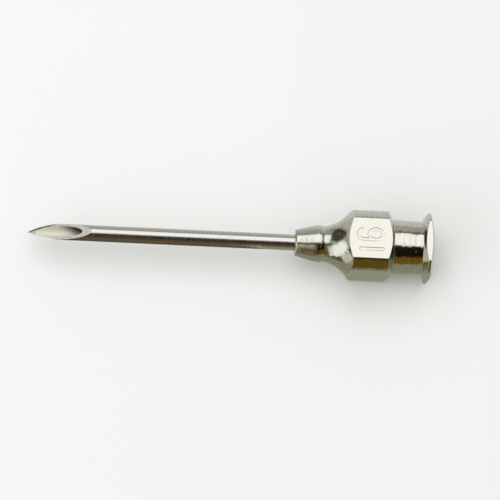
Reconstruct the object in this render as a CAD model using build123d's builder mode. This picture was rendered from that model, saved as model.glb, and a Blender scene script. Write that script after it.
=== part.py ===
from build123d import *
from math import cos, radians, sin, tan
import os

# Veterinary hypodermic needle: a hub turned from square brass bar, with a tapered
# socket and a lock flange, and a stainless cannula swaged into its nose.
# Millimetres. The origin is the centre of the socket's mouth. +X runs out of the
# mouth, the point lies towards -X, and +Z is square to the marked flat of the hub.

# Female taper socket, 6 % on the diameter, with the cone that the drill leaves
socket_mouth_diameter = 4.3
socket_taper = 0.06
socket_depth = 9.0
mouth_chamfer = 0.22
drill_point_angle = 118.0

# Lock flange at the mouth: a flat land, two cones and a thin rim
mouth_land_width = 0.13
flange_back_angle = 17.0
flange_front_angle = 23.0
rim_thickness = 0.24

# Neck round the socket, thicker towards the body
neck_wall = 0.565
neck_taper = 0.06
neck_length = 3.05
tool_nose_radius = 0.12

# Square body: its flats stand out from the neck, its turned corners from the flats
shoulder_step = 0.3685
shoulder_angle = 31.0
corner_step = 0.625
edge_round = 0.06

# Flare from the square body down to the waist of the nose
metal_past_socket = 1.36
flare_length = 2.82
flare_radius = 3.95

# Nose: a waist, a bulge and a cone with a rounded end
nose_wall = 0.965
bulge_rise = 0.11
bulge_to_waist = 0.46
bulge_radius = 2.4
nose_length = 2.92
nose_cone_angle = 14.5
nose_round = 0.2

# Cannula tube, 16 gauge
cannula_diameter = 1.651
cannula_wall = 0.2285
cannula_exposed = 27.3
cannula_in_socket = 0.25

# Swage: the end of the nose is pressed in around the tube and grips it in a ring
swage_depth = 0.05
swage_width = 1.2

# Lancet point: one long bevel that leaves a thin point, and two side facets
bevel_angle = 14.0
point_thickness = 0.03
lancet_angle = 19.9
lancet_turn = 31.0

# Diameters and radii of the hub, from the socket outwards
neck_flange_diameter = socket_mouth_diameter + 2 * neck_wall
neck_body_diameter = neck_flange_diameter + neck_taper * neck_length
bar_flats = neck_body_diameter + 2 * shoulder_step
turned_diameter = bar_flats + 2 * corner_step
turned_r = turned_diameter / 2
neck_flange_r = neck_flange_diameter / 2
neck_body_r = neck_body_diameter / 2
socket_mouth_r = socket_mouth_diameter / 2
socket_floor_r = socket_mouth_r - socket_taper / 2 * socket_depth
mouth_land_r = socket_mouth_r + mouth_chamfer + mouth_land_width

# Radii of the tube and of the nose around it
cannula_r = cannula_diameter / 2
lumen_r = cannula_r - cannula_wall
swage_r = cannula_r - swage_depth
waist_r = cannula_r + nose_wall
bulge_r = waist_r + bulge_rise

# Stations of the flange, neck and shoulder, from the mouth towards the point
x_rim_back = -(turned_r - mouth_land_r) * tan(radians(flange_back_angle))
x_rim_front = x_rim_back - rim_thickness
x_neck_back = x_rim_front - (turned_r - neck_flange_r) * tan(radians(flange_front_angle))
x_neck_front = x_neck_back - neck_length
x_body_back = x_neck_front - (turned_r - neck_body_r) * tan(radians(shoulder_angle))

# Stations of the socket, and of the flare and nose that follow its depth
drill_cone_length = (socket_floor_r - cannula_r) / tan(radians(drill_point_angle / 2))
x_socket_floor = -mouth_chamfer - socket_depth
x_hole_edge = x_socket_floor - drill_cone_length
x_waist = x_hole_edge - metal_past_socket
x_body_front = x_waist + flare_length
x_bulge = x_waist - bulge_to_waist
x_nose = x_waist - nose_length

# The nose cone runs tangent into the front of the bulge
x_cone_end = x_bulge - bulge_radius * sin(radians(nose_cone_angle))
cone_end_r = bulge_r - bulge_radius * (1 - cos(radians(nose_cone_angle)))
nose_face_r = cone_end_r - (x_cone_end - x_nose) * tan(radians(nose_cone_angle))

# Stations of the cannula
x_cannula_end = x_hole_edge + cannula_in_socket
x_swage_middle = x_nose + swage_width / 2
x_swage_back = x_nose + swage_width
x_point = x_nose - cannula_exposed
x_heel = x_point + (cannula_diameter - point_thickness) / tan(radians(bevel_angle))


def ground_plane(x, z, angle):
    """Plane of a ground face through (x, 0, z), rising away from the point at angle."""
    slope = radians(angle)
    return Plane(origin=(x, 0, z), x_dir=(cos(slope), 0, sin(slope)), z_dir=(-sin(slope), 0, cos(slope)))


with BuildPart() as hub:
    # The square bar as it goes into the lathe
    with BuildSketch(Plane.YZ.offset(x_nose)):
        Rectangle(bar_flats, bar_flats)
    extrude(amount=-x_nose)

    # Outside turned from the bar: flange, neck, body corners, flare and nose
    with BuildSketch(Plane.XZ):
        with BuildLine():
            Polyline(
                (x_nose, nose_face_r),
                (x_nose, 0),
                (0, 0),
                (0, mouth_land_r),
                (x_rim_back, turned_r),
                (x_rim_front, turned_r),
                (x_neck_back, neck_flange_r),
                (x_neck_front, neck_body_r),
                (x_body_back, turned_r),
                (x_body_front, turned_r),
            )
            RadiusArc((x_body_front, turned_r), (x_waist, waist_r), flare_radius)
            TangentArc((x_bulge, bulge_r), (x_waist, waist_r), tangent=(1, 0))
            TangentArc((x_bulge, bulge_r), (x_cone_end, cone_end_r), tangent=(-1, 0))
            Line((x_cone_end, cone_end_r), (x_nose, nose_face_r))
        outline = make_face()
        neck_corners = outline.vertices().filter_by_position(Axis.X, x_neck_front, x_neck_back)
        fillet(neck_corners, radius=tool_nose_radius)
    revolve(axis=Axis.X, mode=Mode.INTERSECT)

    # Socket: chamfered mouth, taper and drill cone, then the hole for the tube
    with BuildSketch(Plane.XZ):
        with BuildLine():
            Polyline(
                (x_nose, cannula_r),
                (x_nose, 0),
                (0, 0),
                (0, socket_mouth_r + mouth_chamfer),
                (-mouth_chamfer, socket_mouth_r),
                (x_socket_floor, socket_floor_r),
                (x_hole_edge, cannula_r),
                (x_swage_back, cannula_r),
            )
            ThreePointArc((x_swage_back, cannula_r), (x_swage_middle, swage_r), (x_nose, cannula_r))
        make_face()
    revolve(axis=Axis.X, mode=Mode.SUBTRACT)

    # Rounding at the nose, and the polished edges where the flats meet the turning
    nose_face = hub.faces().sort_by(Axis.X)[0]
    fillet(nose_face.outer_wire().edges(), radius=nose_round)
    side_flats = hub.faces().filter_by(Axis.Y) + hub.faces().filter_by(Axis.Z)
    fillet(side_flats.edges(), radius=edge_round)

with BuildPart() as cannula:
    # Drawn tube, with the ring that the swage presses into its wall
    with BuildSketch(Plane.XZ):
        with BuildLine():
            Polyline(
                (x_nose, cannula_r),
                (x_point, cannula_r),
                (x_point, lumen_r),
                (x_cannula_end, lumen_r),
                (x_cannula_end, cannula_r),
                (x_swage_back, cannula_r),
            )
            ThreePointArc((x_swage_back, cannula_r), (x_swage_middle, swage_r), (x_nose, cannula_r))
        make_face()
    revolve(axis=Axis.X)

    # Long bevel, ground down from the heel at the top of the tube
    split(bisect_by=ground_plane(x_heel, cannula_r, bevel_angle), keep=Keep.BOTTOM)

    # Side facets, ground with the tube turned one way and then the other
    for turn in (-lancet_turn, lancet_turn):
        facet = ground_plane(x_point, -cannula_r, lancet_angle).rotated((turn, 0, 0))
        split(bisect_by=facet, keep=Keep.BOTTOM)

os.makedirs("parts", exist_ok=True)
hub.part.label = "hub"
cannula.part.label = "cannula"
export_step(hub.part, "parts/hub.step")
export_step(cannula.part, "parts/cannula.step")
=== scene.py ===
import math
from collections import namedtuple

import bpy
import numpy as np
from mathutils import Matrix, Vector


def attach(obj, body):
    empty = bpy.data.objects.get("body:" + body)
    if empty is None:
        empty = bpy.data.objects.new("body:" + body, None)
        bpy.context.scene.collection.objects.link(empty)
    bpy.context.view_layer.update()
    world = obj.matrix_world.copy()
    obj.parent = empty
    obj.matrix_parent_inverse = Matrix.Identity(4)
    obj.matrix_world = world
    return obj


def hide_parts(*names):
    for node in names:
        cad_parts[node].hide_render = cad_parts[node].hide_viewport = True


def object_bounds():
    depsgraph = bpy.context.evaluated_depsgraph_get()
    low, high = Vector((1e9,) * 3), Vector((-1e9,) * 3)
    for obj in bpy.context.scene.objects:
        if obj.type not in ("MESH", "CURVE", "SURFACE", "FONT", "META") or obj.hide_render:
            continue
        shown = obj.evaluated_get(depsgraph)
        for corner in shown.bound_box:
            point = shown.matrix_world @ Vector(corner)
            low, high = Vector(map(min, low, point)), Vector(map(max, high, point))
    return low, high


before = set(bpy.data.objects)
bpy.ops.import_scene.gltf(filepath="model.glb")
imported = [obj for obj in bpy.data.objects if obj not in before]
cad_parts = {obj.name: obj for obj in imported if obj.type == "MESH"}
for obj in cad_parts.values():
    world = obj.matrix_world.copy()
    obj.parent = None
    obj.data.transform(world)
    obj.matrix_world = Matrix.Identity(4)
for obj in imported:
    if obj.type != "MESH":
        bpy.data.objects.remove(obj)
cad_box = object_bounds()

MM = 0.001

# Camera: the photograph's viewing angle, found from the outlines of the hub and of the tube
CAMERA_ROLL = -15.13
CAMERA_TILT = 3.678
CAMERA_TURN = -2.64
CAMERA_OFFSET = Vector((18.646, 0.103, -350.0)) * MM
CAMERA_SENSOR = 36.0
CAMERA_LENS = 245.79
CAMERA_NEAR = 0.01
CAMERA_FAR = 10.0

world_to_camera = (
    Matrix.Rotation(math.radians(CAMERA_TURN), 3, "Z")
    @ Matrix.Rotation(math.radians(CAMERA_TILT), 3, "Y")
    @ Matrix.Rotation(math.radians(CAMERA_ROLL), 3, "X")
)
camera_axes = world_to_camera.transposed()
camera_data = bpy.data.cameras.new("camera")
camera_data.sensor_width = CAMERA_SENSOR
camera_data.lens = CAMERA_LENS
camera_data.clip_start = CAMERA_NEAR
camera_data.clip_end = CAMERA_FAR
camera = bpy.data.objects.new("camera", camera_data)
bpy.context.scene.collection.objects.link(camera)
camera.matrix_world = Matrix.Translation(-(camera_axes @ CAMERA_OFFSET)) @ camera_axes.to_4x4()
bpy.context.scene.camera = camera
bpy.context.scene.view_settings.view_transform = "Standard"


# Sizes of the needle in millimetres and degrees, within 0.0003 mm of those in the part's source

# Socket and its mouth
SOCKET_MOUTH_R = 2.15
SOCKET_FLOOR_R = 1.88
MOUTH_CHAMFER = 0.22
MOUTH_LAND_R = 2.5

# Lock flange, neck, and the square body with its turned corners
BAR_HALF = 3.175
TURNED_R = 3.8
NECK_FLANGE_R = 2.715
NECK_BODY_R = 2.8065
FLANGE_BACK_ANGLE = 17.0
FLANGE_FRONT_ANGLE = 23.0
SHOULDER_ANGLE = 31.0
TOOL_NOSE_R = 0.12
EDGE_ROUND = 0.06

# Hollow flare down to the waist, then the bulge and cone of the nose
FLARE_R = 3.95
WAIST_R = 1.7905
BULGE_R = 1.9005
BULGE_FRONT_R = 2.4
CONE_END_R = 1.8240
NOSE_CONE_ANGLE = 14.5
NOSE_FACE_R = 1.343
NOSE_ROUND = 0.2

# Tube, its swaged ring and its ground point
TUBE_R = 0.8255
TUBE_WALL = 0.2285
SWAGE_DEPTH = 0.05
SWAGE_WIDTH = 1.2
BEVEL_ANGLE = 14.0
LANCET_ANGLE = 19.9
LANCET_TURN = 31.0

# Stations along the axis, from the mouth towards the point
X_RIM_FRONT = -0.6375
X_NECK_BACK = -1.0981
X_NECK_FRONT = -4.1480
X_BODY_BACK = -4.7450
X_BODY_FRONT = -8.3936
X_SOCKET_FLOOR = -9.22
X_TUBE_END = -9.6036
X_HOLE_EDGE = -9.8536
X_WAIST = -11.2136
X_BULGE = -11.6736
X_CONE_END = -12.2745
X_NOSE = -14.1336
X_HEEL = -34.9322
X_POINT = -41.4336

# Small roundings that only the visible skin has, at corners that a tool or the polishing leaves round
MOUTH_ROUND = 0.02
WAIST_ROUND = 0.1
SOCKET_FLOOR_ROUND = 0.05

# At a corner that stays sharp, the rows of its two sides stand this far apart
SHARP_GAP = 0.004

# Angle from the middle of a flat to its edge, and half the angle over which the shading turns there
EDGE_ANGLE = math.acos(BAR_HALF / TURNED_R)
EDGE_BLEND = math.radians(0.5)

# Gauge number stamped in the marked flat: the stroke's depth, width and side wall, and the low lip of
# metal pushed up beside it
STAMP_DEPTH = 0.017
STAMP_HALF_WIDTH = 0.145
STAMP_WALL = 0.07
STAMP_LIP = 0.003
STAMP_LIP_AWAY = 0.06
STAMP_LIP_WIDTH = 0.05

# The two figures, in millimetres on the flat: across it along +Y, and from the mouth to the point
SIX_MIDDLE = 0.402
SIX_HALF_WIDTH = 0.55
SIX_FOOT = 5.38
SIX_BOWL_HALF = 0.71
SIX_CROWN_BASE = 7.30
SIX_CROWN_RISE = 0.59
SIX_CROWN_SWEEP = math.radians(158)
ONE_STEM = -1.13
ONE_FOOT = 5.31
ONE_TOP = 7.62
ONE_FLAG = (-1.33, 7.33)

# Half widths of the flat's stamped part, and of the middle of it that has the closest columns
STAMP_ZONE = 1.7
STAMP_FINE = 1.35
STAMP_COLUMNS = 94

# Steps along the flats of the body, close enough for the figures, along the flare and over the swage
BODY_STEPS = 146
FLARE_STEPS = 30
SWAGE_STEPS = 8

# Rows along the tube's sheet, with both its faces, and vertices round it
TUBE_ROWS = 201
TUBE_ROUND = 361

# Shares of the sheet: out along the tube, over the ground rim, back along the bore, over the butt
OUT_END = 0.45
RIM_END = 0.5
BACK_END = 0.95

# Gap in millimetres that is closed at the sheet's seams, and least angle in degrees of a ground ridge
SEAM_GAP = 0.0002
RIDGE_ANGLE = 7.0

# Sockets of a Mix node that mixes colours
MIX_FIRST = 6
MIX_SECOND = 7
MIX_RESULT = 2


def slope(angle):
    """Rise over run of an angle in degrees."""
    return math.tan(math.radians(angle))


def linear(hex_colour):
    """Linear RGBA of an sRGB hex colour."""
    rgb = [int(hex_colour[i : i + 2], 16) / 255 for i in (1, 3, 5)]
    return [c / 12.92 if c <= 0.04045 else ((c + 0.055) / 1.055) ** 2.4 for c in rgb] + [1.0]


def add(tree, kind, inputs=None, **settings):
    """Adds one node with its settings, and sets each input to a value or links it to a socket."""
    node = tree.nodes.new(kind)
    for key, value in settings.items():
        setattr(node, key, value)
    for key, value in (inputs or {}).items():
        if isinstance(value, bpy.types.NodeSocket):
            tree.links.new(value, node.inputs[key])
        else:
            node.inputs[key].default_value = value
    return node


def new_material(name):
    """An empty node material."""
    material = bpy.data.materials.new(name)
    material.use_nodes = True
    material.node_tree.nodes.clear()
    return material


def unit(vectors):
    """The same directions with length 1."""
    return vectors / np.linalg.norm(vectors, axis=-1, keepdims=True)


# Hub: one closed skin, swept round the axis column by column
#
# Each column is a section of the hub through its axis. The turned outline is the same in every
# column. The flats of the square bar cut it off at the bar's own distance, so the scalloped ends
# of each flat fall out of the sections by themselves.

# One side of the section: the way it runs, its outward normal, and 1 where it is turned, 0 on a flat
Side = namedtuple("Side", "way normal turned")


def ends(vertex, before, after, radius):
    """Where a rounding of that radius meets the two sides of a corner, and how far it turns."""
    turn = np.arccos(np.clip((before.way * after.way).sum(1), -1, 1))
    reach = (radius * np.tan(turn / 2))[:, None]
    return vertex - before.way * reach, vertex + after.way * reach, turn


class HubSkin:
    """Collects the rows of all columns at once, as places (x, r), shading normals and turned shares."""

    def __init__(self, angles):
        self.radial = np.stack([np.zeros_like(angles), np.sin(angles), np.cos(angles)], 1)
        self.count = len(angles)
        self.points = []
        self.normals = []
        self.turned = []

    def at(self, x, r):
        """One place of the section in every column."""
        return np.stack([np.broadcast_to(x, self.count), np.broadcast_to(r, self.count)], 1).astype(float)

    def side(self, way):
        """A turned side whose outline runs that way in each column."""
        normal = way[:, 1:2] * np.array([1.0, 0, 0]) - way[:, 0:1] * self.radial
        return Side(way, normal, np.ones(self.count))

    def straight(self, dx, dr):
        """A turned side that runs the same way in every column."""
        return self.side(unit(np.array([[dx, dr]]) * np.ones((self.count, 1))))

    def row(self, point, normal, turned=1.0):
        """Adds one row, with its place, normal and turned share in every column."""
        self.points.append(point)
        self.normals.append(unit(normal))
        self.turned.append(np.broadcast_to(turned, self.count).astype(float))

    def line(self, steps, end, side):
        """Rows along a straight side, from the last row to an end that is left out."""
        start = self.points[-1]
        for k in range(1, steps):
            self.row(start + (end - start) * (k / steps), side.normal, side.turned)

    def corner(self, steps, vertex, before, after, radius):
        """Rounds one corner of the section, and turns the normal from one side to the other."""
        start, _, turn = ends(vertex, before, after, radius)
        bend = before.way[:, 0:1] * after.way[:, 1:2] - before.way[:, 1:2] * after.way[:, 0:1]
        inward = np.where(bend > 0, 1.0, -1.0) * np.stack([-before.way[:, 1], before.way[:, 0]], 1)
        centre = start + inward * radius
        for k in range(steps + 1):
            angle = (turn * k / steps)[:, None]
            share = k / steps
            point = centre + radius * (before.way * np.sin(angle) - inward * np.cos(angle))
            normal = before.normal * (1 - share) + after.normal * share
            self.row(point, normal, before.turned * (1 - share) + after.turned * share)

    def line_to_corner(self, line_steps, steps, vertex, before, after, radius):
        """Rows along a straight side from the last row, and then round the corner at its end."""
        self.line(line_steps, ends(vertex, before, after, radius)[0], before)
        self.corner(steps, vertex, before, after, radius)

    def arc(self, steps, start, end, centre, outward):
        """Rows along a turned arc, ends left out. outward is -1 where the surface is hollow."""
        first = start - centre
        last = end - centre
        radius = np.linalg.norm(first, axis=1)[:, None]
        first_angle = np.arctan2(first[:, 1], first[:, 0])
        last_angle = np.arctan2(last[:, 1], last[:, 0])
        for k in range(1, steps):
            angle = first_angle + (last_angle - first_angle) * k / steps
            way = np.stack([np.cos(angle), np.sin(angle)], 1)
            normal = outward * (way[:, 0:1] * np.array([1.0, 0, 0]) + way[:, 1:2] * self.radial)
            self.row(centre + way * radius, normal)


def spread(first, last, count):
    """Evenly spaced angles, the last one left out."""
    return list(np.linspace(first, last, count, endpoint=False))


def hub_columns():
    """Angles of the columns about the axis, from the middle of the marked flat, closest at its stamp."""
    flat_end = EDGE_ANGLE - EDGE_BLEND
    turned_start = EDGE_ANGLE + EDGE_BLEND
    turned_end = math.pi / 2 - EDGE_ANGLE - EDGE_BLEND
    next_flat = math.pi / 2 - flat_end
    fine_end = math.atan(STAMP_FINE / BAR_HALF)
    fine = list(np.arctan(np.linspace(-STAMP_FINE, STAMP_FINE, STAMP_COLUMNS) / BAR_HALF))
    marked_flat = spread(-flat_end, -fine_end, 9) + fine[:-1] + spread(fine_end, flat_end, 9)
    plain_flat = spread(-flat_end, flat_end, 22)
    corner = spread(flat_end, turned_start, 6)
    corner += spread(turned_start, turned_end, 8)
    corner += spread(turned_end, next_flat, 6)
    columns = []
    for quarter, flat in enumerate((marked_flat, plain_flat, plain_flat, plain_flat)):
        columns += [quarter * math.pi / 2 + angle for angle in flat + corner]
    return np.array(columns)


def bar_limit(angles):
    """How far out the square bar reaches in each column, its normal there, and how turned it is."""
    middle = np.round(angles / (math.pi / 2)) * math.pi / 2
    off = angles - middle
    reach = np.minimum(TURNED_R, BAR_HALF / np.cos(off))
    turned = np.clip((np.abs(off) - EDGE_ANGLE + EDGE_BLEND) / (2 * EDGE_BLEND), 0, 1)
    share = turned[:, None]
    flat_normal = np.stack([np.zeros_like(middle), np.sin(middle), np.cos(middle)], 1)
    radial = np.stack([np.zeros_like(middle), np.sin(angles), np.cos(angles)], 1)
    return reach, unit(flat_normal * (1 - share) + radial * share), turned


def stamp_lines():
    """Centre lines of the two figures."""
    round_bowl = np.linspace(0, 2 * math.pi, 97)
    bowl_y = SIX_MIDDLE - SIX_HALF_WIDTH * np.cos(round_bowl)
    bowl_x = SIX_FOOT + SIX_BOWL_HALF - SIX_BOWL_HALF * np.sin(round_bowl)
    up_crown = np.linspace(0, SIX_CROWN_SWEEP, 49)
    crown_y = SIX_MIDDLE - SIX_HALF_WIDTH * np.cos(up_crown)
    crown_x = SIX_CROWN_BASE + SIX_CROWN_RISE * np.sin(up_crown)
    six = np.concatenate([np.stack([bowl_y, bowl_x], 1)[::-1], np.stack([crown_y, crown_x], 1)])
    one = np.array([(ONE_STEM, ONE_FOOT), (ONE_STEM, ONE_TOP), ONE_FLAG])
    return [six, one]


def stamp_height(y, x):
    """Height of the stamped metal over the flat: sunk along the figures, with a low lip beside them."""
    spot = np.stack([y, -x], -1)
    away = np.full(y.shape, np.inf)
    for line in stamp_lines():
        for start, end in zip(line[:-1], line[1:]):
            way = end - start
            share = np.clip(((spot - start) @ way) / (way @ way), 0, 1)
            away = np.minimum(away, np.linalg.norm(spot - start - share[..., None] * way, axis=-1))
    wall = np.clip((away - STAMP_HALF_WIDTH + STAMP_WALL / 2) / STAMP_WALL, 0, 1)
    rise = wall * wall * (3 - 2 * wall)
    beside = np.exp(-(((away - STAMP_HALF_WIDTH - STAMP_LIP_AWAY) / STAMP_LIP_WIDTH) ** 2))
    return STAMP_LIP * beside - STAMP_DEPTH * (1 - rise)


def trace_outside(skin, angles):
    """Rows from the mouth over the outside to the tube. Gives the flats' first row, and the one past them."""
    reach, bar_normal, bar_turned = bar_limit(angles)
    back_slope = slope(FLANGE_BACK_ANGLE)
    front_slope = slope(FLANGE_FRONT_ANGLE)
    shoulder_slope = slope(SHOULDER_ANGLE)

    # Sides of the section
    chamfer = skin.straight(1, 1)
    land = skin.straight(0, 1)
    flange_back = skin.straight(-back_slope, 1)
    bar = Side(skin.straight(-1, 0).way, bar_normal, bar_turned)
    flange_front = skin.straight(-front_slope, -1)
    neck = skin.straight(X_NECK_FRONT - X_NECK_BACK, NECK_BODY_R - NECK_FLANGE_R)
    shoulder = skin.straight(-shoulder_slope, 1)
    cone = skin.straight(-1, -slope(NOSE_CONE_ANGLE))
    face = skin.straight(0, -1)

    # Centre of the hollow flare, out beyond the metal, from its two ends and its radius
    flare_top = np.array([X_BODY_FRONT, TURNED_R])
    waist = np.array([X_WAIST, WAIST_R])
    chord = waist - flare_top
    square = np.array([chord[1], -chord[0]]) / np.linalg.norm(chord)
    flare_centre = (flare_top + waist) / 2 + square * math.sqrt(FLARE_R**2 - chord @ chord / 4)

    # Corners where the flats cut the turned outline off, at their own distance in each column
    rim_back = skin.at(-(reach - MOUTH_LAND_R) * back_slope, reach)
    rim_front = skin.at(X_RIM_FRONT - (TURNED_R - reach) * front_slope, reach)
    body_back = skin.at(X_BODY_BACK + (TURNED_R - reach) * shoulder_slope, reach)
    body_front = skin.at(flare_centre[0] + np.sqrt(FLARE_R**2 - (reach - flare_centre[1]) ** 2), reach)

    # Sides that the arcs start or end with
    from_centre = body_front - flare_centre
    flare = skin.side(unit(np.stack([from_centre[:, 1], -from_centre[:, 0]], 1)))
    into_waist = skin.straight(waist[1] - flare_centre[1], flare_centre[0] - waist[0])
    bulge_rise = BULGE_R - WAIST_R
    bulge_reach = X_WAIST - X_BULGE
    bulge_back_r = (bulge_rise**2 + bulge_reach**2) / (2 * bulge_rise)
    back_centre = np.array([X_BULGE, BULGE_R - bulge_back_r])
    front_centre = np.array([X_BULGE, BULGE_R - BULGE_FRONT_R])
    out_of_waist = skin.straight(back_centre[1] - waist[1], waist[0] - back_centre[0])

    # Flange, neck and shoulder
    skin.corner(3, skin.at(0, SOCKET_MOUTH_R + MOUTH_CHAMFER), chamfer, land, MOUTH_ROUND)
    skin.corner(3, skin.at(0, MOUTH_LAND_R), land, flange_back, MOUTH_ROUND)
    skin.line_to_corner(6, 5, rim_back, flange_back, bar, EDGE_ROUND)
    skin.line_to_corner(5, 5, rim_front, bar, flange_front, EDGE_ROUND)
    skin.line_to_corner(5, 5, skin.at(X_NECK_BACK, NECK_FLANGE_R), flange_front, neck, TOOL_NOSE_R)
    skin.line_to_corner(9, 5, skin.at(X_NECK_FRONT, NECK_BODY_R), neck, shoulder, TOOL_NOSE_R)
    skin.line_to_corner(5, 5, body_back, shoulder, bar, EDGE_ROUND)

    # Body, flare and waist
    first_flat = len(skin.points)
    past_flat = first_flat + BODY_STEPS - 1
    skin.line_to_corner(BODY_STEPS, 5, body_front, bar, flare, EDGE_ROUND)
    waist_corner = skin.at(*waist)
    waist_start, waist_end, _ = ends(waist_corner, into_waist, out_of_waist, WAIST_ROUND)
    skin.arc(FLARE_STEPS, skin.points[-1], waist_start, flare_centre, -1.0)
    skin.corner(4, waist_corner, into_waist, out_of_waist, WAIST_ROUND)

    # Bulge and nose
    bulge_top = skin.at(X_BULGE, BULGE_R)
    cone_start = skin.at(X_CONE_END, CONE_END_R)
    face_end = skin.at(X_NOSE, TUBE_R + SHARP_GAP)
    skin.arc(7, waist_end, bulge_top, back_centre, 1.0)
    skin.row(bulge_top, skin.radial)
    skin.arc(7, bulge_top, cone_start, front_centre, 1.0)
    skin.row(cone_start, cone.normal)
    skin.line_to_corner(8, 8, skin.at(X_NOSE, NOSE_FACE_R), cone, face, NOSE_ROUND)
    skin.line(4, face_end, face)
    skin.row(face_end, face.normal)
    return first_flat, past_flat


def trace_inside(skin):
    """Rows from the nose back to the mouth: the swaged hole, the drill cone and the tapered socket."""
    hole = skin.straight(1, 0)
    drill = skin.straight(X_SOCKET_FLOOR - X_HOLE_EDGE, SOCKET_FLOOR_R - TUBE_R)
    taper = skin.straight(-MOUTH_CHAMFER - X_SOCKET_FLOOR, SOCKET_MOUTH_R - SOCKET_FLOOR_R)
    chamfer = skin.straight(1, 1)
    land = skin.straight(0, 1)
    mouth = skin.at(0, SOCKET_MOUTH_R + MOUTH_CHAMFER)
    hole_end = skin.at(X_HOLE_EDGE - SHARP_GAP, TUBE_R)
    for k in range(SWAGE_STEPS + 1):
        share = k / SWAGE_STEPS
        dent = SWAGE_DEPTH * (1 - (2 * share - 1) ** 2)
        skin.row(skin.at(X_NOSE + SWAGE_WIDTH * share, TUBE_R - dent), hole.normal)
    skin.line(4, hole_end, hole)
    skin.row(hole_end, hole.normal)
    skin.row(skin.at(X_HOLE_EDGE, TUBE_R), drill.normal)
    skin.line_to_corner(5, 3, skin.at(X_SOCKET_FLOOR, SOCKET_FLOOR_R), drill, taper, SOCKET_FLOOR_ROUND)
    skin.line_to_corner(12, 3, skin.at(-MOUTH_CHAMFER, SOCKET_MOUTH_R), taper, chamfer, MOUTH_ROUND)
    skin.line(3, ends(mouth, chamfer, land, MOUTH_ROUND)[0], chamfer)


def stamp_flat(place, normals, angles, first, past):
    """Sinks the figures into the marked flat's rows and columns, and tilts their normals to match."""
    from_middle = np.abs((angles + math.pi) % (2 * math.pi) - math.pi)
    marked = from_middle < math.atan(STAMP_ZONE / BAR_HALF)
    x = place[first:past, marked, 0]
    y = place[first:past, marked, 1]
    place[first:past, marked, 2] += stamp_height(y, x)
    step = 0.004
    slope_x = (stamp_height(y, x + step) - stamp_height(y, x - step)) / (2 * step)
    slope_y = (stamp_height(y + step, x) - stamp_height(y - step, x)) / (2 * step)
    normals[first:past, marked] = unit(np.stack([-slope_x, -slope_y, np.ones_like(x)], -1))


def build_hub():
    """Hub as one mesh, with the turned share and the way along the section kept for its material."""
    angles = hub_columns()
    skin = HubSkin(angles)
    first_flat, past_flat = trace_outside(skin, angles)
    trace_inside(skin)

    section = np.array(skin.points)
    normals = np.array(skin.normals)
    turned = np.array(skin.turned)
    x = section[..., 0]
    r = section[..., 1]
    place = np.stack([x, r * np.sin(angles), r * np.cos(angles)], -1)
    stamp_flat(place, normals, angles, first_flat, past_flat)

    rows, columns = turned.shape
    feed = np.zeros((rows, columns))
    feed[1:] = np.cumsum(np.linalg.norm(np.diff(section, axis=0), axis=-1), axis=0)
    index = np.arange(rows * columns).reshape(rows, columns)
    below = np.roll(index, -1, axis=0)
    beside = np.roll(index, -1, axis=1)
    faces = np.stack([index, beside, np.roll(below, -1, axis=1), below], -1).reshape(-1, 4)

    mesh = bpy.data.meshes.new("hub_plated")
    mesh.from_pydata((place.reshape(-1, 3) * MM).tolist(), [], faces.tolist())
    for name, values in (("turned", turned), ("feed_mm", feed)):
        attribute = mesh.attributes.new(name, "FLOAT", "POINT")
        attribute.data.foreach_set("value", values.ravel().astype(np.float32))
    mesh.polygons.foreach_set("use_smooth", [True] * len(mesh.polygons))
    mesh.normals_split_custom_set_from_vertices(normals.reshape(-1, 3).tolist())
    hub = bpy.data.objects.new("hub_plated", mesh)
    bpy.context.scene.collection.objects.link(hub)
    return hub


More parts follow.
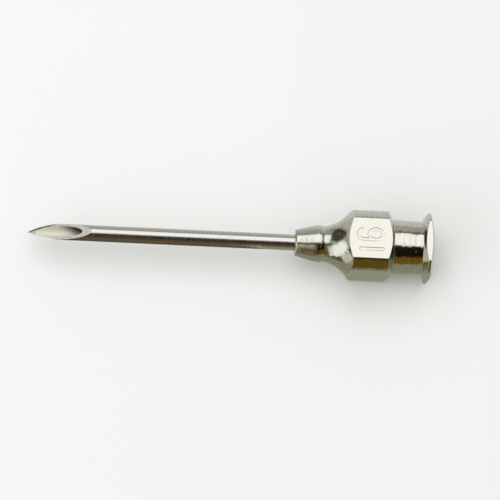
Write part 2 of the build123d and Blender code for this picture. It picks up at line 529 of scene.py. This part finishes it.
def tube_tree():
    """Geometry Nodes for the cannula: a tube whose end follows the planes it was ground with."""
    tree = bpy.data.node_groups.new("ground_tube", "GeometryNodeTree")
    tree.interface.new_socket("Geometry", in_out="OUTPUT", socket_type="NodeSocketGeometry")
    sizes = {}
    for kind, names in (
        ("NodeSocketFloat", (
            "Outer Radius", "Wall", "Butt X", "Heel X", "Point X", "Bevel Angle",
            "Lancet Angle", "Lancet Turn", "Swage X", "Swage Width", "Swage Depth",
        )),
        ("NodeSocketInt", ("Rows", "Round")),
        ("NodeSocketMaterial", ("Tube", "Ground", "Bore")),
    ):
        for name in names:
            socket = tree.interface.new_socket(name, in_out="INPUT", socket_type=kind)
            sizes[name] = socket.identifier
    given = add(tree, "NodeGroupInput").outputs
    math_node = "ShaderNodeMath"

    # One sheet: its X runs out along the tube, over the rim, back along the bore and over the butt
    sheet = add(tree, "GeometryNodeMeshGrid", {
        "Size X": 1.0, "Size Y": 1.0,
        "Vertices X": given["Rows"], "Vertices Y": given["Round"]}).outputs["Mesh"]
    at = add(tree, "ShaderNodeSeparateXYZ", {0: add(tree, "GeometryNodeInputPosition").outputs[0]}).outputs
    along = add(tree, math_node, {0: at["X"], 1: 0.5}, operation="ADD").outputs[0]
    turn = add(tree, math_node, {0: at["Y"], 1: -2 * math.pi}, operation="MULTIPLY").outputs[0]
    kept = add(tree, "GeometryNodeStoreNamedAttribute", {
        "Geometry": sheet, "Name": "along", "Value": along}, data_type="FLOAT", domain="POINT").outputs[0]
    share = {}
    for name, first, last in (
        ("out", 0.0, OUT_END),
        ("rim", OUT_END, RIM_END),
        ("back", RIM_END, BACK_END),
        ("butt", BACK_END, 1.0),
    ):
        share[name] = add(tree, "ShaderNodeMapRange", {
            "Value": along, "From Min": first, "From Max": last}).outputs[0]
    reach = add(tree, math_node, {0: share["out"], 1: share["back"]}, operation="SUBTRACT").outputs[0]
    inside = add(tree, math_node, {0: share["rim"], 1: share["butt"]}, operation="SUBTRACT").outputs[0]
    thin = add(tree, math_node, {0: inside, 1: given["Wall"]}, operation="MULTIPLY").outputs[0]
    radius = add(tree, math_node, {0: given["Outer Radius"], 1: thin}, operation="SUBTRACT").outputs[0]
    sine = add(tree, math_node, {0: turn}, operation="SINE").outputs[0]
    cosine = add(tree, math_node, {0: turn}, operation="COSINE").outputs[0]
    y = add(tree, math_node, {0: radius, 1: sine}, operation="MULTIPLY").outputs[0]
    z = add(tree, math_node, {0: radius, 1: cosine}, operation="MULTIPLY").outputs[0]

    # Where the long bevel cuts this line of the tube
    drop = add(tree, math_node, {0: z, 1: given["Outer Radius"]}, operation="SUBTRACT").outputs[0]
    bevel_slope = add(tree, math_node, {0: given["Bevel Angle"]}, operation="TANGENT").outputs[0]
    bevel_run = add(tree, math_node, {0: drop, 1: bevel_slope}, operation="DIVIDE").outputs[0]
    bevel_x = add(tree, math_node, {0: given["Heel X"], 1: bevel_run}, operation="ADD").outputs[0]

    # Where the nearer of the two side facets cuts it
    up = add(tree, math_node, {0: z, 1: given["Outer Radius"]}, operation="ADD").outputs[0]
    turn_cosine = add(tree, math_node, {0: given["Lancet Turn"]}, operation="COSINE").outputs[0]
    turn_sine = add(tree, math_node, {0: given["Lancet Turn"]}, operation="SINE").outputs[0]
    level = add(tree, math_node, {0: up, 1: turn_cosine}, operation="MULTIPLY").outputs[0]
    beside = add(tree, math_node, {0: y}, operation="ABSOLUTE").outputs[0]
    lean = add(tree, math_node, {0: beside, 1: turn_sine, 2: level}, operation="MULTIPLY_ADD").outputs[0]
    lancet_slope = add(tree, math_node, {0: given["Lancet Angle"]}, operation="TANGENT").outputs[0]
    lancet_run = add(tree, math_node, {0: lean, 1: lancet_slope}, operation="DIVIDE").outputs[0]
    lancet_x = add(tree, math_node, {0: given["Point X"], 1: lancet_run}, operation="ADD").outputs[0]
    cut_x = add(tree, math_node, {0: bevel_x, 1: lancet_x}, operation="MAXIMUM").outputs[0]
    x = add(tree, "ShaderNodeMapRange", {
        "Value": reach, "To Min": given["Butt X"], "To Max": cut_x}).outputs[0]

    # Ring that the swage presses into the outside, inside the hub's nose
    off = add(tree, math_node, {0: x, 1: given["Swage X"]}, operation="SUBTRACT").outputs[0]
    doubled = add(tree, math_node, {0: off, 1: 2.0}, operation="MULTIPLY").outputs[0]
    scaled = add(tree, math_node, {0: doubled, 1: given["Swage Width"]}, operation="DIVIDE").outputs[0]
    squared = add(tree, math_node, {0: scaled, 1: scaled}, operation="MULTIPLY").outputs[0]
    depth = add(tree, math_node, {0: 1.0, 1: squared}, operation="SUBTRACT", use_clamp=True).outputs[0]
    outside = add(tree, math_node, {0: 1.0, 1: inside}, operation="SUBTRACT").outputs[0]
    pressed = add(tree, math_node, {0: depth, 1: outside}, operation="MULTIPLY").outputs[0]
    dent = add(tree, math_node, {0: pressed, 1: given["Swage Depth"]}, operation="MULTIPLY").outputs[0]
    tube_r = add(tree, math_node, {0: radius, 1: dent}, operation="SUBTRACT").outputs[0]
    place = add(tree, "ShaderNodeCombineXYZ", {
        "X": x,
        "Y": add(tree, math_node, {0: tube_r, 1: sine}, operation="MULTIPLY").outputs[0],
        "Z": add(tree, math_node, {0: tube_r, 1: cosine}, operation="MULTIPLY").outputs[0]}).outputs[0]
    bent = add(tree, "GeometryNodeSetPosition", {"Geometry": kept, "Position": place}).outputs[0]
    closed = add(tree, "GeometryNodeMergeByDistance", {
        "Geometry": bent, "Distance": SEAM_GAP * MM}).outputs[0]

    # Ground edges stay sharp: those of the rim and butt, and the ridges between the ground planes
    row_share = add(tree, "GeometryNodeInputNamedAttribute", {"Name": "along"}, data_type="FLOAT").outputs[0]
    edge_angle = add(tree, "GeometryNodeInputMeshEdgeAngle").outputs[0]
    ridge = math.radians(RIDGE_ANGLE)
    sharp = add(tree, math_node, {0: edge_angle, 1: ridge}, operation="GREATER_THAN").outputs[0]

    # The row on an edge is picked to within 0.3 of the step to the next row
    within = 0.3 / (TUBE_ROWS - 1)
    for edge in (OUT_END, RIM_END, BACK_END):
        here = add(tree, math_node, {0: row_share, 1: edge, 2: within}, operation="COMPARE").outputs[0]
        sharp = add(tree, math_node, {0: sharp, 1: here}, operation="MAXIMUM").outputs[0]
    shaded = add(tree, "GeometryNodeSetShadeSmooth", {
        "Geometry": closed, "Selection": sharp, "Shade Smooth": False}, domain="EDGE").outputs[0]

    real = add(tree, "GeometryNodeRealizeInstances", {"Geometry": shaded}).outputs[0]
    dressed = add(tree, "GeometryNodeSetMaterial", {"Geometry": real, "Material": given["Tube"]}).outputs[0]
    for first, last, finish in ((RIM_END, BACK_END, "Bore"), (OUT_END, RIM_END, "Ground")):
        here = add(tree, math_node, {
            0: row_share, 1: (first + last) / 2, 2: (last - first) / 2}, operation="COMPARE").outputs[0]
        dressed = add(tree, "GeometryNodeSetMaterial", {
            "Geometry": dressed, "Selection": here, "Material": given[finish]}).outputs[0]
    add(tree, "NodeGroupOutput", {"Geometry": dressed})
    return tree, sizes


def build_cannula(tube, ground, bore):
    """Cannula as a plain mesh, from the nodes' result."""
    tree, sizes = tube_tree()
    carrier = bpy.data.objects.new("tube_carrier", bpy.data.meshes.new("tube_carrier"))
    bpy.context.scene.collection.objects.link(carrier)
    modifier = carrier.modifiers.new("ground_tube", "NODES")
    modifier.node_group = tree
    for name, value in {
        "Outer Radius": TUBE_R * MM,
        "Wall": TUBE_WALL * MM,
        "Butt X": X_TUBE_END * MM,
        "Heel X": X_HEEL * MM,
        "Point X": X_POINT * MM,
        "Bevel Angle": math.radians(BEVEL_ANGLE),
        "Lancet Angle": math.radians(LANCET_ANGLE),
        "Lancet Turn": math.radians(LANCET_TURN),
        "Swage X": (X_NOSE + SWAGE_WIDTH / 2) * MM,
        "Swage Width": SWAGE_WIDTH * MM,
        "Swage Depth": SWAGE_DEPTH * MM,
        "Rows": TUBE_ROWS,
        "Round": TUBE_ROUND,
        "Tube": tube,
        "Ground": ground,
        "Bore": bore,
    }.items():
        modifier[sizes[name]] = value
    ready = carrier.evaluated_get(bpy.context.evaluated_depsgraph_get())
    mesh = bpy.data.meshes.new_from_object(ready)
    mesh.name = "cannula_ground"
    cannula = bpy.data.objects.new("cannula_ground", mesh)
    bpy.context.scene.collection.objects.link(cannula)
    bpy.data.objects.remove(carrier)
    return cannula


def bright_nickel():
    """Bright nickel plate over turned and polished brass: a warm grey mirror with fine ring marks."""
    material = new_material("bright_nickel_on_turned_brass")
    tree = material.node_tree
    math_node = "ShaderNodeMath"
    vector_node = "ShaderNodeVectorMath"
    spot = add(tree, "ShaderNodeTexCoord").outputs["Object"]
    at = add(tree, "ShaderNodeSeparateXYZ", {0: spot}).outputs
    feed, turned = [
        add(tree, "ShaderNodeAttribute", attribute_name=name, attribute_type="GEOMETRY").outputs["Fac"]
        for name in ("feed_mm", "turned")
    ]

    def tool_marks(along, around, detail, output="Fac"):
        """Noise stretched round the hub: its grain in millimetres along the outline and around."""
        across = 1 / (around * MM)
        grain = add(tree, "ShaderNodeCombineXYZ", {
            "X": add(tree, math_node, {0: feed, 1: 1 / along}, operation="MULTIPLY").outputs[0],
            "Y": add(tree, math_node, {0: at["Y"], 1: across}, operation="MULTIPLY").outputs[0],
            "Z": add(tree, math_node, {0: at["Z"], 1: across}, operation="MULTIPLY").outputs[0],
        }).outputs[0]
        return add(tree, "ShaderNodeTexNoise", {
            "Vector": grain, "Scale": 1.0, "Detail": detail, "Roughness": 0.6}).outputs[output]

    # Rings of the turning tool, drawn at twice their real 0.07 mm so that a picture can show them
    rings = tool_marks(along=0.14, around=14.0, detail=2.0)
    ring_bump = add(tree, "ShaderNodeBump", {
        "Strength": turned, "Distance": 0.009 * MM, "Height": rings}).outputs[0]

    # Soft waviness under the plate, about 0.9 mm across
    wave = add(tree, "ShaderNodeTexNoise", {
        "Vector": spot, "Scale": 1 / (0.9 * MM), "Detail": 2.0}).outputs["Fac"]
    wave_bump = add(tree, "ShaderNodeBump", {
        "Strength": 1.0, "Distance": 0.006 * MM, "Height": wave, "Normal": ring_bump}).outputs[0]

    # Pits in the plate, 0.1 mm wide, and faint on the flats, where hardly any show
    pits = add(tree, "ShaderNodeTexVoronoi", {"Vector": spot, "Scale": 1 / (0.7 * MM)}).outputs["Distance"]
    hollow = add(tree, "ShaderNodeMapRange", {
        "Value": pits, "From Min": 0.04, "From Max": 0.09, "To Min": 1.0, "To Max": 0.0}).outputs[0]
    shown = add(tree, "ShaderNodeMapRange", {"Value": turned, "To Min": 0.2, "To Max": 1.0}).outputs[0]
    pit = add(tree, math_node, {0: hollow, 1: shown}, operation="MULTIPLY").outputs[0]
    pit_bump = add(tree, "ShaderNodeBump", {
        "Strength": 1.0, "Distance": 0.02 * MM, "Height": pit, "Normal": wave_bump}, invert=True).outputs[0]

    # Short marks of the polishing cloth, drawn 0.11 mm wide, which is coarser than they are, so that a
    # picture can show them. They tilt the skin and so fray the edges of what it mirrors
    frays = tool_marks(along=0.11, around=0.45, detail=3.0, output="Color")
    lean = add(tree, vector_node, {0: frays, 1: (0.5, 0.5, 0.5)}, operation="SUBTRACT").outputs[0]
    leaning = add(tree, "ShaderNodeSeparateXYZ", {0: lean}).outputs
    sideways = add(tree, vector_node, {0: (1, 0, 0), 1: spot}, operation="CROSS_PRODUCT").outputs[0]
    round_way = add(tree, vector_node, {0: sideways}, operation="NORMALIZE").outputs[0]
    round_share = add(tree, math_node, {0: leaning["X"], 1: 0.30}, operation="MULTIPLY").outputs[0]
    along_share = add(tree, math_node, {0: leaning["Y"], 1: 0.14}, operation="MULTIPLY").outputs[0]
    tilt_round = add(tree, vector_node, {0: round_way, "Scale": round_share}, operation="SCALE").outputs[0]
    tilt_along = add(tree, vector_node, {0: (1, 0, 0), "Scale": along_share}, operation="SCALE").outputs[0]
    both = add(tree, vector_node, {0: tilt_round, 1: tilt_along}, operation="ADD").outputs[0]
    tilt = add(tree, vector_node, {0: both, "Scale": turned}, operation="SCALE").outputs[0]
    tilted = add(tree, vector_node, {0: pit_bump, 1: tilt}, operation="ADD").outputs[0]
    surface = add(tree, vector_node, {0: tilted}, operation="NORMALIZE").outputs[0]

    # The plate is a little darker in the rings' grooves and in its pits
    groove = add(tree, "ShaderNodeMapRange", {
        "Value": rings, "From Min": 0.36, "From Max": 0.52, "To Min": 0.55, "To Max": 0.0}).outputs[0]
    in_groove = add(tree, math_node, {0: groove, 1: turned}, operation="MULTIPLY").outputs[0]
    in_pit = add(tree, math_node, {0: pit, 1: 0.5}, operation="MULTIPLY").outputs[0]
    plate = add(tree, "ShaderNodeMix", {
        "Factor": in_groove, MIX_FIRST: linear("#BDBCB0"), MIX_SECOND: linear("#A3A296"),
    }, data_type="RGBA").outputs[MIX_RESULT]
    colour = add(tree, "ShaderNodeMix", {
        "Factor": in_pit, MIX_FIRST: plate, MIX_SECOND: linear("#8E8A7C"),
    }, data_type="RGBA").outputs[MIX_RESULT]
    rough = add(tree, "ShaderNodeMapRange", {
        "Value": leaning["Z"], "From Min": -0.2, "From Max": 0.2, "To Min": 0.09, "To Max": 0.16}).outputs[0]
    shader = add(tree, "ShaderNodeBsdfPrincipled", {
        "Base Color": colour, "Metallic": 1.0, "Roughness": rough, "Normal": surface}).outputs[0]
    add(tree, "ShaderNodeOutputMaterial", {"Surface": shader})
    return material


def fine_marks(tree, along, around):
    """Noise with its grain in millimetres along the needle and around it or across it."""
    spot = add(tree, "ShaderNodeTexCoord").outputs["Object"]
    scales = (1 / (along * MM), 1 / (around * MM), 1 / (around * MM))
    grain = add(tree, "ShaderNodeVectorMath", {0: spot, 1: scales}, operation="MULTIPLY").outputs[0]
    marks = add(tree, "ShaderNodeTexNoise", {
        "Vector": grain, "Scale": 1.0, "Detail": 3.0, "Roughness": 0.6}).outputs["Fac"]
    return spot, marks


def finished_steel(name, colour, rough_low, rough_high, spacing, depth):
    """Stainless steel with marks round the tube, or across a ground face, sized in millimetres."""
    material = new_material(name)
    tree = material.node_tree
    _, marks = fine_marks(tree, along=spacing, around=1.4)
    bump = add(tree, "ShaderNodeBump", {
        "Strength": 0.8, "Distance": depth * MM, "Height": marks}).outputs[0]
    rough = add(tree, "ShaderNodeMapRange", {
        "Value": marks, "From Min": 0.3, "From Max": 0.7,
        "To Min": rough_low, "To Max": rough_high}).outputs[0]
    shader = add(tree, "ShaderNodeBsdfPrincipled", {
        "Base Color": linear(colour), "Metallic": 1.0, "Roughness": rough, "Normal": bump}).outputs[0]
    add(tree, "ShaderNodeOutputMaterial", {"Surface": shader})
    return material


def drawn_bore():
    """Inside of the drawn tube: dull and light at the mouth, with painted shade, dark brown, farther in."""
    material = new_material("drawn_stainless_bore")
    tree = material.node_tree
    spot, lines = fine_marks(tree, along=1.2, around=0.1)

    # The painted shade starts on a slant, nearer the point on the far side of the bore
    painted_shade_start = -37.4
    painted_shade_full = -34.9
    slanted = add(tree, "ShaderNodeVectorMath", {
        0: spot, 1: (1, 2.5, 0)}, operation="DOT_PRODUCT").outputs["Value"]
    painted_shade = add(tree, "ShaderNodeMapRange", {
        "Value": slanted, "From Min": painted_shade_start * MM, "From Max": painted_shade_full * MM,
    }, interpolation_type="SMOOTHSTEP").outputs[0]
    colour = add(tree, "ShaderNodeMix", {
        "Factor": painted_shade, MIX_FIRST: linear("#F6F4E9"), MIX_SECOND: linear("#6A5A46"),
    }, data_type="RGBA").outputs[MIX_RESULT]
    bump = add(tree, "ShaderNodeBump", {
        "Strength": 1.0, "Distance": 0.004 * MM, "Height": lines}).outputs[0]
    shader = add(tree, "ShaderNodeBsdfPrincipled", {
        "Base Color": colour, "Metallic": 1.0, "Roughness": 0.75, "Normal": bump}).outputs[0]
    add(tree, "ShaderNodeOutputMaterial", {"Surface": shader})
    return material


# Drawn stainless tube, centreless ground and polished: soft bright bands, with faint rings that are
# drawn coarser than a polishing belt's, so that a picture can show them
tube_steel = finished_steel(
    "polished_stainless_tube", "#BFBDB6", rough_low=0.22, rough_high=0.29, spacing=0.15, depth=0.003)
# Bevel and facets from a fine wheel: satin, with lines across the face, coarser than the wheel's grit
ground_steel = finished_steel(
    "wheel_ground_stainless", "#BEBEB7", rough_low=0.20, rough_high=0.30, spacing=0.10, depth=0.003)
# Bore as it was drawn: duller than the outside
bore_steel = drawn_bore()

hub = build_hub()
hub.data.materials.append(bright_nickel())
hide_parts("hub")
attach(hub, "root")

cannula = build_cannula(tube_steel, ground_steel, bore_steel)
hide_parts("cannula")
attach(cannula, "root")


# Floor
FLOOR_R = 1.5
FLOOR_SIDES = 96


def matte_paper(name, colour):
    """Matte paper of one colour."""
    material = new_material(name)
    tree = material.node_tree
    shader = add(tree, "ShaderNodeBsdfPrincipled", {
        "Base Color": linear(colour), "Roughness": 0.8, "Specular IOR Level": 0.2}).outputs[0]
    add(tree, "ShaderNodeOutputMaterial", {"Surface": shader})
    return material


floor_mesh = bpy.data.meshes.new("floor")
floor_edge = [
    (FLOOR_R * math.cos(angle), FLOOR_R * math.sin(angle), cad_box[0].z)
    for angle in np.linspace(0, 2 * math.pi, FLOOR_SIDES, endpoint=False)
]
floor_mesh.from_pydata(floor_edge, [], [list(range(FLOOR_SIDES))])
floor_mesh.materials.append(matte_paper("pale_matte_paper", "#FAFAF8"))
floor = bpy.data.objects.new("floor", floor_mesh)
bpy.context.scene.collection.objects.link(floor)


def toward(side, near, up):
    """Direction from the needle, from its parts along X, Y and Z."""
    return Vector((side, near, up)).normalized()


def softbox(name, way, distance, along, across, power, colour):
    """An area lamp that faces the needle from a direction, in metres and watts, with a side along it."""
    data = bpy.data.lights.new(name, "AREA")
    data.shape = "RECTANGLE"
    data.size = along
    data.size_y = across
    data.energy = power
    data.color = colour
    lamp = bpy.data.objects.new(name, data)
    bpy.context.scene.collection.objects.link(lamp)
    long_way = toward(1, 0, 0)
    side = (long_way - way * long_way.dot(way)).normalized()
    facing = Matrix((side, way.cross(side), way)).transposed()
    lamp.matrix_world = Matrix.Translation(way * distance) @ facing.to_4x4()


def stage_card(name, mesh, colour):
    """Puts a glowing card in the scene, seen only in the metal and lighting nothing: a painted reflection."""
    material = new_material(name + "_cloth")
    glow = add(material.node_tree, "ShaderNodeEmission", {"Color": linear(colour)}).outputs[0]
    add(material.node_tree, "ShaderNodeOutputMaterial", {"Surface": glow})
    mesh.materials.append(material)
    card = bpy.data.objects.new(name, mesh)
    bpy.context.scene.collection.objects.link(card)
    card.visible_camera = False
    card.visible_diffuse = False
    card.visible_shadow = False


def round_card(name, low, high, left, right, distance, colour):
    """A card bent round the needle between two angles over the near horizon and two to the sides."""
    steps = 12
    points = []
    for up in np.radians(np.linspace(low, high, steps + 1)):
        for side in np.radians(np.linspace(left, right, steps + 1)):
            near = -math.cos(up) * math.cos(side)
            points.append(toward(math.sin(side), near, math.sin(up) * math.cos(side)) * distance)
    faces = []
    for i in range(steps):
        for j in range(steps):
            k = i * (steps + 1) + j
            faces.append((k, k + 1, k + steps + 2, k + steps + 1))
    mesh = bpy.data.meshes.new(name)
    mesh.from_pydata(points, [], faces)
    stage_card(name, mesh, colour)


def flat_card(name, corners, colour):
    """A four-cornered card near the needle, in millimetres from the middle of the socket's mouth."""
    mesh = bpy.data.meshes.new(name)
    mesh.from_pydata([Vector(corner) * MM for corner in corners], [], [(0, 1, 2, 3)])
    stage_card(name, mesh, colour)


def table_card(name, along, across, colour):
    """A card that lies just over the floor between two places in X and two in Y, in millimetres."""
    level = cad_box[0].z / MM + 0.05
    flat_card(name, [(along[i], across[j], level) for i, j in ((0, 0), (1, 0), (1, 1), (0, 1))], colour)


# A broad softbox almost overhead lights the marked flat, and a window to the left of the point puts
# the bright patch on the flare
OVERHEAD_ANGLE = math.radians(110.5)
overhead = toward(-0.08, -math.cos(OVERHEAD_ANGLE), math.sin(OVERHEAD_ANGLE))
window = toward(-0.848, -0.468, 0.249)
softbox("overhead_softbox", overhead, distance=0.5, along=0.515, across=0.525,
        power=1.086, colour=(0.95, 0.93, 1.0))
softbox("side_window", window, distance=0.36, along=0.42, across=0.40,
        power=0.585, colour=(0.94, 0.965, 1))

# Glowing cards for the bands that the metal mirrors, painted reflections: the lowest and highest angle
# over the near horizon, the angles to the left and to the right, the distance in metres and the colour
for name, low, high, left, right, distance, colour in (
    ("near_dark_painted_reflection", 34, 83, -9, 75, 0.46, "#1F1915"),
    ("near_left_dark_painted_reflection", 34, 83, -38, -9, 0.46, "#766D5B"),
    ("near_left_brown_painted_reflection", -2, 34, -38, -8, 0.46, "#7A6C3C"),
    ("near_tube_brown_painted_reflection", -2, 34, -8, 3.4, 0.46, "#5A4630"),
    ("near_right_brown_painted_reflection", -2, 34, 3.4, 24, 0.46, "#84691F"),
    ("far_right_brown_painted_reflection", -2, 34, 24, 75, 0.46, "#5E523C"),
    ("far_dark_edge_painted_reflection", 138, 147, -60, 60, 0.52, "#5A5A50"),
    ("far_dark_corner_painted_reflection", 96, 168, -68, -30, 0.54, "#56534A"),
    ("far_dark_table_edge_painted_reflection", 168, 184, -66, -21, 0.54, "#3A382F"),
):
    round_card(name, low, high, left, right, distance, colour)

# Glowing cards on the floor, which the lower sides of the hub and tube mirror: painted shade and light
for name, along, across, colour in (
    ("near_table_cloth", (-17.5, 300), (-440, -1.9), "#ABAC99"),
    ("far_left_cloth", (-300, -14.5), (1.2, 300), "#DDDFD7"),
    ("near_tube_cloth", (-90, -17.5), (-60, -1), "#6E6555"),
    ("near_left_cloth", (-90, -17.5), (-440, -60), "#ABAC99"),
):
    table_card(name, along, across, colour)

# A glowing white card beside the tube: a painted highlight, the light line on the rounded end of the nose
flat_card("white_painted_highlight_by_tube", [
    (-18.05, -2.6, -3.1), (-17.7, -7.6, -3.1), (-17.7, -7.6, 1.4), (-18.05, -2.6, 1.4),
], "#FBF8EE")

# Pale grey room round it all
world = bpy.data.worlds.new("studio")
bpy.context.scene.world = world
world.use_nodes = True
world.node_tree.nodes["Background"].inputs["Color"].default_value = (0.58, 0.59, 0.56, 1)
